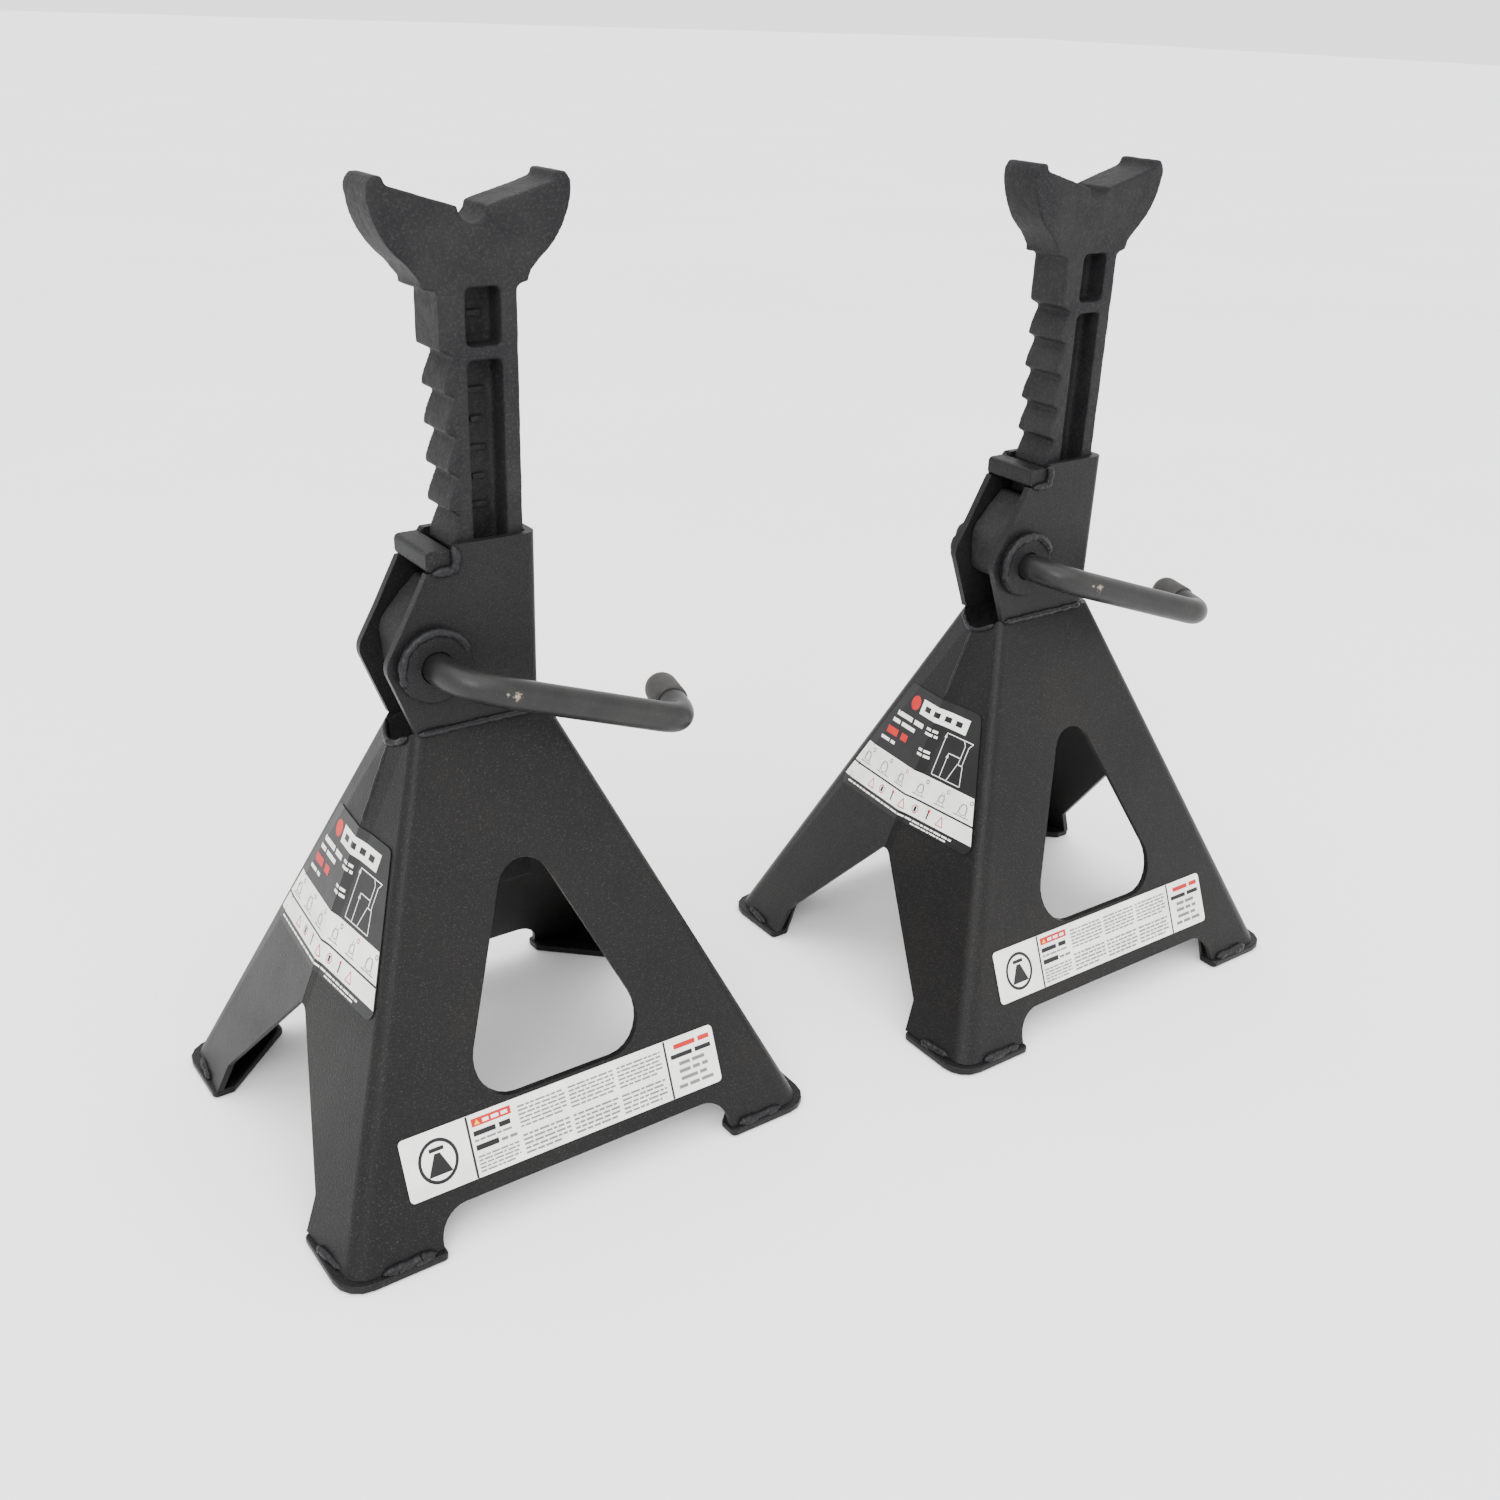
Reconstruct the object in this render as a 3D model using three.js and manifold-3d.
// A pair of ratchet axle stands. Millimetres, +Z up, floor at z = 0.
// Each stand is built about its own axis: +X along the front face, +Y to the rear, ram on z.
import * as THREE from 'three';
import { mergeVertices } from 'three/addons/utils/BufferGeometryUtils.js';
import Module from 'manifold-3d';

const wasm = await Module();
wasm.setup();

// ---- driving dimensions -------------------------------------------------------------------

const GAP = 0.3;                    // space left between pieces that touch

const STANDS = [                    // where each stand's ram axis meets the floor
  { name: 'stand_a', x: -197.05, y: 16.74 },
  { name: 'stand_b', x: 197.05, y: -16.74 },
];

// base: two pressed panels that make a four-sided tapering pyramid
const BASE = {
  bottom: { z: 5, left: -144.6, right: 144.6, half: 124, bend: 12.6, crease: 10.2 },
  top: { z: 253.2, left: -47.3, right: 32.8, half: 19, bend: 6.6, crease: 3.9 },
  sheet: 3.6,
};
const WINDOW = { bottom: 66, apex: 206, middle: -4, halfWidth: 62.6, cornerBend: 21, apexBend: 17 };
const ARCH = { halfWidth: 93, height: 23.5, bend: 17 };
const SIDE_GAP = { footHalf: 72, kneeHalf: 68, kneeZ: 24, apexZ: 101, apexBend: 5 };
const THROAT = { z: 262, radius: 18 };

// foot plates
const FOOT = { outerX: 150.9, outerY: 127.7, alongX: 59, alongY: 55.5, tip: 12.6, bend: 16.7, height: 4.7 };

// collar: a U channel, open towards -X
const COLLAR = { half: 19.9, back: 27.6, plate: 4.6, bend: 6.6, bottom: 253.5, top: 354.5 };
const BRIDGE = { left: -36.6, right: -21.6, half: 19.5, bottom: 341.5, top: 352.5, bend: 2.5 };
const BRIDGE_SEAT = 0.3;            // the cheeks are notched this much clear of the bridge
const CHEEK = {                     // the cheeks' free edges, below the bridge
  shoulder: { x: -50, z: 316 }, knee: { x: -62.5, z: 294 }, foot: { x: -47, z: 253.5 }, bend: 12,
};

// ram and saddle
const RAM = { half: 14.4, left: -21, right: 22.6, bottom: 146, shoulder: 480.5 };
const TOOTH = { pitch: 20, count: 12, top: 450, tip: -19.4, root: -13.2, rise: 3 };
const POCKET = { left: -5.8, right: 12.9, depth: 14, bend: 2.5 };
const POCKETS = [{ bottom: 452, top: 480 }, { bottom: 168, top: 444.6 }];
const SADDLE = {
  valley: 516, slope: 0.29, flankEnd: 44, lipInner: 45.5, lipOuter: 50.5, lipTop: 533,
  arcCentreX: 8, arcCentreZ: 529, arcRadius: 46.2, arcLow: -53, arcHigh: -5, heel: 29, grooveRadius: 8,
};

// handle shaft, arm and cap
const PIVOT = { x: -35.5, z: 291.5 };
const ROD_RADIUS = 8.5;
const ROD_REAR = 27.5;
const ARM = {
  firstCorner: new THREE.Vector3(-35.5, -52.5, 291.5), firstBend: 26.5,
  secondCorner: new THREE.Vector3(92, -67.5, 249), secondBend: 16,
  end: new THREE.Vector3(102.7, -25.1, 250.6),
};
const CAP = { radius: 9.9, bore: 8.9, sleeve: 20.1, dome: 5.9, domeSteps: 5 };
const WASHER = { outer: 20.5, bore: 8.9, thick: 5.2 };

// pawl: its nose meets the teeth when the handle hangs 11 degrees lower than it does at rest
const PAWL = {
  half: 13.5,
  outline: [                        // across and up from the shaft, with each corner's bend
    [-13.5, -13.5, 11], [13.5, -13.5, 11], [12.6, 12, 6], [11.7, 22, 6],
    [13.4, 39.9, 2], [7, 40.3, 3], [-3, 31, 9], [-15.8, 17, 14],
  ],
};
const PIN = { radius: 2, bore: 2.3, tilt: 156.6, from: -14, to: 15 };

// weld beads
const BEAD = { radius: 2.6, sink: 1.2 };
const SEAM = { top: 246, leftBottom: 207, rightBottom: 112 };
const COLLAR_BEAD = { radius: 3, left: -44, right: 20 };

// labels are thin plates that float one gap off the sheet
const LABEL_THICK = 0.35;
const FRONT_LABEL = { left: -105.7, right: 92.6, bottom: 32.5, top: 64.5, bend: 2.5 };
const SIDE_LABEL = { bottom: 118, top: 198, bottomHalf: 67.5, topHalf: 33, bend: 5 };

// ---- materials ----------------------------------------------------------------------------

const paint = new THREE.MeshStandardMaterial({ color: 0x26272a, roughness: 0.55, metalness: 0.3 });
const casting = new THREE.MeshStandardMaterial({ color: 0x2a2b2c, roughness: 0.8, metalness: 0.3 });
const bar = new THREE.MeshStandardMaterial({ color: 0x232324, roughness: 0.45, metalness: 0.4 });
const plastic = new THREE.MeshStandardMaterial({ color: 0x3a3634, roughness: 0.7, metalness: 0 });
const paleLabel = new THREE.MeshStandardMaterial({ color: 0xe4e4e0, roughness: 0.5, metalness: 0 });
const darkLabel = new THREE.MeshStandardMaterial({ color: 0x161616, roughness: 0.4, metalness: 0 });

// ---- solids -------------------------------------------------------------------------------

function solid(geometry) {
  const bare = geometry.clone();
  bare.deleteAttribute('normal');
  bare.deleteAttribute('uv');
  const merged = mergeVertices(bare, 1e-4);
  return new wasm.Manifold(new wasm.Mesh({
    numProp: 3,
    vertProperties: new Float32Array(merged.attributes.position.array),
    triVerts: new Uint32Array(merged.index.array),
  }));
}

function geometryOf(shape) {
  const mesh = shape.getMesh();
  const geometry = new THREE.BufferGeometry();
  geometry.setAttribute('position', new THREE.BufferAttribute(mesh.vertProperties, 3));
  geometry.setIndex(new THREE.BufferAttribute(mesh.triVerts, 1));
  geometry.computeVertexNormals();
  return geometry;
}

// ---- outlines -----------------------------------------------------------------------------

// a closed outline with every corner [across, up, bend radius] rounded by an arc
function roundedShape(corners) {
  const shape = new THREE.Shape();
  corners.forEach(([cx, cy, bend], i) => {
    const corner = new THREE.Vector2(cx, cy);
    const before = new THREE.Vector2(...corners.at(i - 1)).sub(corner).normalize();
    const after = new THREE.Vector2(...corners[(i + 1) % corners.length]).sub(corner).normalize();
    const halfAngle = Math.acos(before.dot(after)) / 2;
    const tangent = bend / Math.tan(halfAngle);
    const start = corner.clone().addScaledVector(before, tangent);
    const end = corner.clone().addScaledVector(after, tangent);
    if (i === 0) shape.moveTo(start.x, start.y);
    else shape.lineTo(start.x, start.y);
    if (bend > 0) {
      const inward = before.clone().add(after).normalize();
      const centre = corner.clone().addScaledVector(inward, bend / Math.sin(halfAngle));
      const turn = (from) => Math.atan2(from.y - centre.y, from.x - centre.x);
      const clockwise = before.cross(after) > 0;
      shape.absarc(centre.x, centre.y, bend, turn(start), turn(end), clockwise);
    }
  });
  shape.closePath();
  return shape;
}

// an outline's points, without the doubles that arise where a line meets an arc
function distinctPoints(shape, segments) {
  const points = shape.getPoints(segments);
  return points.filter((point, i) => point.distanceTo(points.at(i - 1)) > 1e-3);
}

function rectangle(left, right, bottom, top, bend) {
  return roundedShape([[left, bottom, bend], [right, bottom, bend], [right, top, bend], [left, top, bend]]);
}

// ---- extrusions along each axis -----------------------------------------------------------

const AXIS = {
  x: new THREE.Vector3(1, 0, 0),
  y: new THREE.Vector3(0, 1, 0),
  z: new THREE.Vector3(0, 0, 1),
};
const XZ_TURN = new THREE.Matrix4().makeBasis(AXIS.x, AXIS.z, AXIS.y.clone().negate());
const YZ_TURN = new THREE.Matrix4().makeBasis(AXIS.y, AXIS.z, AXIS.x);

function extrude(shape, depth, curveSegments = 4) {
  const outline = new THREE.Shape(distinctPoints(shape, curveSegments));
  return new THREE.ExtrudeGeometry(outline, { depth, bevelEnabled: false });
}

// outline in x and y, standing on z = from
function upright(shape, from, to, curveSegments) {
  return extrude(shape, to - from, curveSegments).translate(0, 0, from);
}

// outline in x and z, running from y = from to y = to
function crosswise(shape, from, to, curveSegments) {
  return extrude(shape, to - from, curveSegments).applyMatrix4(XZ_TURN).translate(0, to, 0);
}

// outline in y and z, running from x = from to x = to
function lengthwise(shape, from, to, curveSegments) {
  return extrude(shape, to - from, curveSegments).applyMatrix4(YZ_TURN).translate(from, 0, 0);
}

function roundBar(radius, from, to, sides = 20) {
  const middle = (from + to) / 2;
  return new THREE.CylinderGeometry(radius, radius, to - from, sides).translate(0, middle, 0);
}

// ---- base ---------------------------------------------------------------------------------

// the pyramid's outline at height z, its walls moved inwards by inset
function baseOutline(z, inset) {
  const { bottom, top } = BASE;
  const t = (z - bottom.z) / (top.z - bottom.z);
  const at = (key) => THREE.MathUtils.lerp(bottom[key], top[key], t);
  const rise = top.z - bottom.z;
  const lean = (key) => Math.hypot(1, (bottom[key] - top[key]) / rise);
  const left = at('left') + inset * lean('left');
  const right = at('right') - inset * lean('right');
  const half = at('half') - inset * lean('half');
  const bend = Math.max(at('bend') - inset, 1.5);
  const crease = at('crease');
  return roundedShape([
    [left, -half, bend], [right, -half, bend], [right + crease, 0, 0],
    [right, half, bend], [left, half, bend], [left - crease, 0, 0],
  ]);
}

// a straight-sided solid between the outlines at two heights
function pyramid(inset, low = BASE.bottom.z, high = BASE.top.z) {
  const segments = 3;
  const ring = (z) => distinctPoints(baseOutline(z, inset), segments)
    .map((point) => new THREE.Vector3(point.x, point.y, z));
  const lower = ring(low);
  const upper = ring(high);
  const count = lower.length;
  const index = [];
  for (let i = 0; i < count; i += 1) {
    const next = (i + 1) % count;
    index.push(i, next, count + next, i, count + next, count + i);
    if (i > 0 && next > 0) {
      index.push(0, next, i);
      index.push(count, count + i, count + next);
    }
  }
  const geometry = new THREE.BufferGeometry().setFromPoints([...lower, ...upper]);
  geometry.setIndex(index);
  return geometry;
}

// the skin between two insets, opened at both ends
function skin(outer, inner) {
  const spare = 8;
  return solid(pyramid(outer)).subtract(solid(pyramid(inner, BASE.bottom.z - spare, BASE.top.z + spare)));
}

function windowCut(side) {
  const { bottom, apex, middle, halfWidth, cornerBend, apexBend } = WINDOW;
  const shape = roundedShape([
    [middle - halfWidth, bottom, cornerBend],
    [middle + halfWidth, bottom, cornerBend],
    [middle, apex, apexBend],
  ]);
  return solid(side < 0 ? crosswise(shape, -130, -8) : crosswise(shape, 8, 130));
}

function archCut(side) {
  const { halfWidth, height, bend } = ARCH;
  const shape = roundedShape([
    [-halfWidth, 0, 0], [halfWidth, 0, 0], [halfWidth, height, bend], [-halfWidth, height, bend],
  ]);
  return solid(side < 0 ? crosswise(shape, -140, -90) : crosswise(shape, 90, 140));
}

function sideGapCut() {
  const { footHalf, kneeHalf, kneeZ, apexZ, apexBend } = SIDE_GAP;
  const shape = roundedShape([
    [-footHalf, 0, 0], [footHalf, 0, 0], [kneeHalf, kneeZ, 4], [0, apexZ, apexBend], [-kneeHalf, kneeZ, 4],
  ]);
  return solid(lengthwise(shape, -170, 170));
}

// the hollow in the flanges' top edge that lets the pawl swing
function throatCut() {
  const round = new THREE.CylinderGeometry(THROAT.radius, THROAT.radius, 60, 24);
  return solid(round.rotateZ(Math.PI / 2).translate(-60, 0, THROAT.z));
}

function halfSpace(side) {
  const depth = 200;
  const box = new THREE.BoxGeometry(400, depth, 400);
  return solid(box.translate(0, side * (depth / 2 + GAP / 2), 150));
}

function basePanel(side) {
  return skin(0, BASE.sheet)
    .intersect(halfSpace(side))
    .subtract(windowCut(side))
    .subtract(archCut(side))
    .subtract(sideGapCut())
    .subtract(throatCut());
}

// a bead along the seam of one side, from z = from to z = to
function seamBead(side, from, to) {
  const key = side < 0 ? 'left' : 'right';
  const { bottom, top } = BASE;
  const seamX = (z) => {
    const t = (z - bottom.z) / (top.z - bottom.z);
    const crease = THREE.MathUtils.lerp(bottom.crease, top.crease, t);
    return THREE.MathUtils.lerp(bottom[key], top[key], t) + side * crease;
  };
  const start = new THREE.Vector3(seamX(from), 0, from);
  const end = new THREE.Vector3(seamX(to), 0, to);
  const along = end.clone().sub(start);
  const rod = new THREE.CylinderGeometry(BEAD.radius, BEAD.radius, along.length(), 10);
  rod.applyQuaternion(new THREE.Quaternion().setFromUnitVectors(AXIS.y, along.clone().normalize()));
  const middle = start.clone().lerp(end, 0.5);
  rod.translate(middle.x - side * BEAD.sink, middle.y, middle.z);
  return solid(rod).subtract(solid(pyramid(-GAP)));
}

function foot(signX, signY) {
  const { outerX, outerY, alongX, alongY, tip, bend, height } = FOOT;
  const corners = [
    [outerX, outerY, bend],
    [outerX - alongX, outerY, 3],
    [outerX - alongX, outerY - tip, 3],
    [outerX - tip, outerY - alongY, 3],
    [outerX, outerY - alongY, 3],
  ].map(([x, y, r]) => [signX * x, signY * y, r]);
  if (signX * signY < 0) corners.reverse();
  return solid(upright(roundedShape(corners), 0, height, 2));
}

// ---- collar -------------------------------------------------------------------------------

function collar() {
  const { half, back, plate, bend, bottom, top } = COLLAR;
  const { shoulder, knee, foot } = CHEEK;
  const open = -80;
  const channel = (inset, reach) => roundedShape([
    [reach, -half + inset, 0], [back - inset, -half + inset, bend - inset],
    [back - inset, half - inset, bend - inset], [reach, half - inset, 0],
  ]);
  const folded = solid(upright(channel(0, open), bottom, top, 3))
    .subtract(solid(upright(channel(plate, open - 1), bottom - 1, top + 1, 2)));
  const notch = BRIDGE.bottom - BRIDGE_SEAT;
  const cheek = roundedShape([
    [back + 1, bottom - 1, 0], [back + 1, top + 1, 0],
    [BRIDGE.right + BRIDGE_SEAT, top + 1, 0], [BRIDGE.right + BRIDGE_SEAT, notch, 0],
    [BRIDGE.left, notch, 0], [shoulder.x, shoulder.z, CHEEK.bend], [knee.x, knee.z, CHEEK.bend],
    [foot.x, foot.z, 0], [foot.x, bottom - 1, 0],
  ].reverse());
  const bore = roundBar(WASHER.bore, -40, 40, 24).translate(PIVOT.x, 0, PIVOT.z);
  return folded.intersect(solid(crosswise(cheek, -30, 30))).subtract(solid(bore));
}

function bridge() {
  const { left, right, half, bottom, top, bend } = BRIDGE;
  return solid(crosswise(rectangle(left, right, bottom, top, bend), -half, half, 1));
}

// a fillet bead where a cheek stands on the base
function collarBead(side) {
  const { radius, left, right } = COLLAR_BEAD;
  const rod = new THREE.CylinderGeometry(radius, radius, right - left, 10).rotateZ(Math.PI / 2);
  rod.translate((left + right) / 2, side * (COLLAR.half - 0.4), COLLAR.bottom);
  const { half, back, top, bottom } = COLLAR;
  const reach = half + GAP;
  const inside = new THREE.BoxGeometry(200, 2 * reach, top - bottom + 2 * GAP);
  inside.translate(back - 100, 0, (top + bottom) / 2);
  return solid(rod).subtract(solid(inside)).subtract(solid(pyramid(-GAP)));
}

function washer(side) {
  const { outer, bore, thick } = WASHER;
  const profile = [
    new THREE.Vector2(bore, 0), new THREE.Vector2(outer, 0), new THREE.Vector2(outer, thick - 1.5),
    new THREE.Vector2(outer - 1.5, thick), new THREE.Vector2(bore, thick), new THREE.Vector2(bore, 0),
  ];
  const ring = new THREE.LatheGeometry(profile, 24);
  if (side < 0) ring.rotateX(Math.PI);
  return solid(ring.translate(PIVOT.x, side * (COLLAR.half + GAP), PIVOT.z));
}

// ---- ram ----------------------------------------------------------------------------------

function ramOutline() {
  const { left, right, bottom, shoulder } = RAM;
  const { valley, slope, flankEnd, lipInner, lipOuter, lipTop } = SADDLE;
  const { arcCentreX, arcCentreZ, arcRadius, arcLow, arcHigh, heel, grooveRadius } = SADDLE;
  const { tip, root, rise } = TOOTH;
  const flank = (x) => valley + slope * Math.abs(x);
  const outer = arcCentreX + arcRadius;
  const low = THREE.MathUtils.degToRad(arcLow);
  const high = THREE.MathUtils.degToRad(arcHigh);
  const shape = new THREE.Shape();
  shape.moveTo(left + 3, bottom);
  shape.lineTo(right, bottom);
  shape.lineTo(right, shoulder - 2);
  shape.lineTo(right + 2, shoulder);
  shape.lineTo(heel, shoulder + 0.5);
  shape.lineTo(heel + 1.5, shoulder + 6);
  shape.absarc(arcCentreX, arcCentreZ, arcRadius, low, high, false);
  shape.lineTo(outer - 0.5, arcCentreZ);
  shape.lineTo(lipOuter, lipTop);
  shape.lineTo(lipInner, lipTop);
  shape.lineTo(flankEnd, flank(flankEnd));
  shape.lineTo(grooveRadius, flank(grooveRadius));
  shape.absarc(0, flank(grooveRadius), grooveRadius, 0, Math.PI, true);
  shape.lineTo(-flankEnd, flank(flankEnd));
  shape.lineTo(-lipInner, lipTop);
  shape.lineTo(-lipOuter, lipTop);
  shape.lineTo(-outer + 0.5, arcCentreZ);
  shape.absarc(-arcCentreX, arcCentreZ, arcRadius, Math.PI - high, Math.PI - low, false);
  shape.lineTo(-heel, shoulder + 3);
  shape.lineTo(-heel, shoulder);
  shape.lineTo(left, shoulder - 1.5);
  const depth = root - tip;
  shape.lineTo(left, TOOTH.top + (tip - left) * rise / depth);
  for (let n = 0; n < TOOTH.count; n += 1) {
    const under = TOOTH.top - n * TOOTH.pitch;
    shape.lineTo(tip, under);
    shape.lineTo(root, under - rise);
    shape.lineTo(root - 0.4 * depth, under - 8);
    shape.lineTo(root - 0.8 * depth, under - 13.5);
    shape.lineTo(tip, under - 18.5);
  }
  shape.lineTo(tip, bottom + 3);
  shape.closePath();
  return shape;
}

function ram() {
  let body = solid(crosswise(ramOutline(), -RAM.half, RAM.half, 5));
  for (const { bottom, top } of POCKETS) {
    const mouth = rectangle(POCKET.left, POCKET.right, bottom, top, POCKET.bend);
    body = body.subtract(solid(crosswise(mouth, -RAM.half - 1, -RAM.half + POCKET.depth, 2)));
  }
  return body;
}

// ---- handle and pawl ----------------------------------------------------------------------

const armLine = ARM.secondCorner.clone().sub(ARM.firstCorner).normalize();
const stubLine = ARM.end.clone().sub(ARM.secondCorner).normalize();

function handlePath() {
  const { firstCorner, firstBend, secondCorner, secondBend, end } = ARM;
  const rear = new THREE.Vector3(PIVOT.x, ROD_REAR, PIVOT.z);
  const bendIn = firstCorner.clone().add(new THREE.Vector3(0, firstBend, 0));
  const bendOut = firstCorner.clone().addScaledVector(armLine, firstBend);
  const turnIn = secondCorner.clone().addScaledVector(armLine, -secondBend);
  const turnOut = secondCorner.clone().addScaledVector(stubLine, secondBend);
  const path = new THREE.CurvePath();
  path.add(new THREE.LineCurve3(rear, bendIn));
  path.add(new THREE.QuadraticBezierCurve3(bendIn, firstCorner, bendOut));
  path.add(new THREE.LineCurve3(bendOut, turnIn));
  path.add(new THREE.QuadraticBezierCurve3(turnIn, secondCorner, turnOut));
  path.add(new THREE.LineCurve3(turnOut, end));
  return path;
}

// a small bar across the shaft, in the plane of the pawl
function crossBar(radius) {
  const rod = roundBar(radius, PIN.from, PIN.to, 12).rotateZ(Math.PI / 2).rotateX(Math.PI / 2);
  rod.rotateY(-THREE.MathUtils.degToRad(PIN.tilt - 180));
  return rod.translate(PIVOT.x, 0, PIVOT.z);
}

function handle() {
  const section = new THREE.Shape().absarc(0, 0, ROD_RADIUS, 0, 2 * Math.PI);
  const rod = new THREE.ExtrudeGeometry(section, { steps: 34, extrudePath: handlePath(), curveSegments: 7 });
  return solid(rod).subtract(solid(crossBar(PIN.bore)));
}

function handleCap() {
  const { radius, bore, sleeve, dome, domeSteps } = CAP;
  const outside = [[bore, 0], [radius, 0]];
  for (let i = 0; i < domeSteps; i += 1) {
    const angle = (i / domeSteps) * (Math.PI / 2);
    outside.push([radius * Math.cos(angle), sleeve + dome * Math.sin(angle)]);
  }
  const inside = [[0, sleeve + dome], [0, sleeve], [bore, sleeve], [bore, 0]];
  const profile = [...outside, ...inside].map(([across, along]) => new THREE.Vector2(across, along));
  const cap = new THREE.LatheGeometry(profile, 20);
  cap.applyQuaternion(new THREE.Quaternion().setFromUnitVectors(AXIS.y, stubLine));
  const start = ARM.end.clone().addScaledVector(stubLine, GAP - sleeve);
  return solid(cap.translate(start.x, start.y, start.z));
}

function pawl() {
  const bore = roundBar(ROD_RADIUS + GAP, -40, 40, 24).translate(PIVOT.x, 0, PIVOT.z);
  const outline = roundedShape(PAWL.outline.map(([x, z, bend]) => [PIVOT.x + x, PIVOT.z + z, bend]));
  return solid(crosswise(outline, -PAWL.half, PAWL.half, 3))
    .subtract(solid(bore))
    .subtract(solid(crossBar(PIN.bore)));
}

// ---- labels -------------------------------------------------------------------------------

function labelSkin() {
  return skin(-GAP - LABEL_THICK, -GAP);
}

function frontLabel() {
  const { left, right, bottom, top, bend } = FRONT_LABEL;
  return labelSkin().intersect(solid(crosswise(rectangle(left, right, bottom, top, bend), -140, -70, 2)));
}

function sideLabel() {
  const { bottom, top, bottomHalf, topHalf, bend } = SIDE_LABEL;
  const outline = roundedShape([
    [-bottomHalf, bottom, bend], [bottomHalf, bottom, bend], [topHalf, top, bend], [-topHalf, top, bend],
  ]);
  return labelSkin().intersect(solid(lengthwise(outline, -160, -40, 2)));
}

// ---- assembly -----------------------------------------------------------------------------

const PIECES = [
  ['front_panel', () => basePanel(-1), paint],
  ['rear_panel', () => basePanel(1), paint],
  ['seam_weld_left', () => seamBead(-1, SEAM.leftBottom, SEAM.top), paint],
  ['seam_weld_right', () => seamBead(1, SEAM.rightBottom, SEAM.top), paint],
  ['foot_front_left', () => foot(-1, -1), paint],
  ['foot_front_right', () => foot(1, -1), paint],
  ['foot_rear_left', () => foot(-1, 1), paint],
  ['foot_rear_right', () => foot(1, 1), paint],
  ['collar', collar, paint],
  ['collar_front_weld', () => collarBead(-1), paint],
  ['collar_rear_weld', () => collarBead(1), paint],
  ['bridge', bridge, paint],
  ['front_washer', () => washer(-1), paint],
  ['rear_washer', () => washer(1), paint],
  ['ram', ram, casting],
  ['pawl', pawl, casting],
  ['pawl_pin', () => solid(crossBar(PIN.radius)), bar],
  ['handle', handle, bar],
  ['handle_cap', handleCap, plastic],
  ['front_label', frontLabel, paleLabel],
  ['side_label', sideLabel, darkLabel],
];

const pair = new THREE.Group();
for (const stand of STANDS) {
  const group = new THREE.Group();
  group.position.set(stand.x, stand.y, 0);
  for (const [name, make, material] of PIECES) {
    const mesh = new THREE.Mesh(geometryOf(make()), material.clone());
    mesh.name = `${stand.name}_${name}`;
    group.add(mesh);
  }
  pair.add(group);
}

export default pair;
